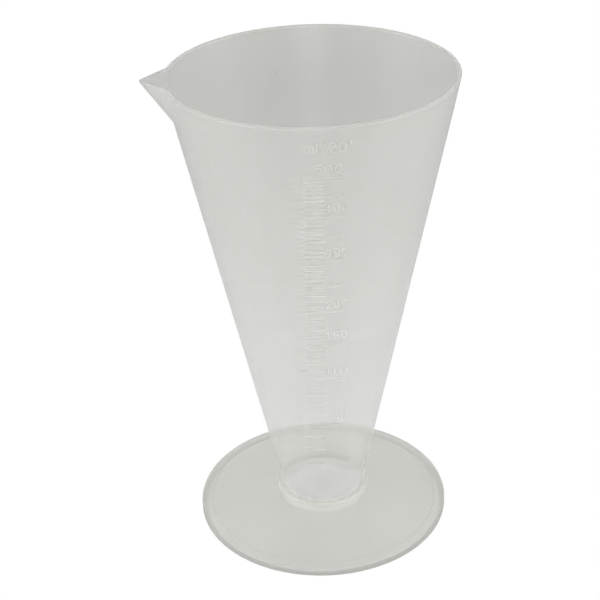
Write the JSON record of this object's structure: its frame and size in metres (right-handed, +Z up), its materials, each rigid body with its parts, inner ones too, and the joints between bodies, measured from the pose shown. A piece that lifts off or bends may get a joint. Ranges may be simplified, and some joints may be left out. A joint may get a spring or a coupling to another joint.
{
  "type": "conical measuring graduate",
  "caption": "Conical measuring graduate in translucent plastic: graduated cone with a pouring spout, held in the collar of a push-on disc foot.",
  "frame": {"origin": "on the cone's axis, on the plane that the foot's ground ring rests on", "axes": "+Z up along the cone's axis; the pouring spout points along -X; the graduated scale faces -Y"},
  "size_m": [0.112, 0.1042, 0.184],
  "materials": {
    "cone_plastic": "translucent natural polypropylene, satin outside, a little glossier inside",
    "foot_plastic": "translucent natural polypropylene, satin"
  },
  "bodies": {
    "foot": {"foot": "foot_plastic"},
    "measuring_cone": {"measuring_cone": "cone_plastic"}
  },
  "joints": [
    {"name": "foot_pull_off", "type": "slide", "parent": "foot", "child": "measuring_cone", "axis": [0, 0, 1], "range_m": [0, 0.03]}
  ]
}
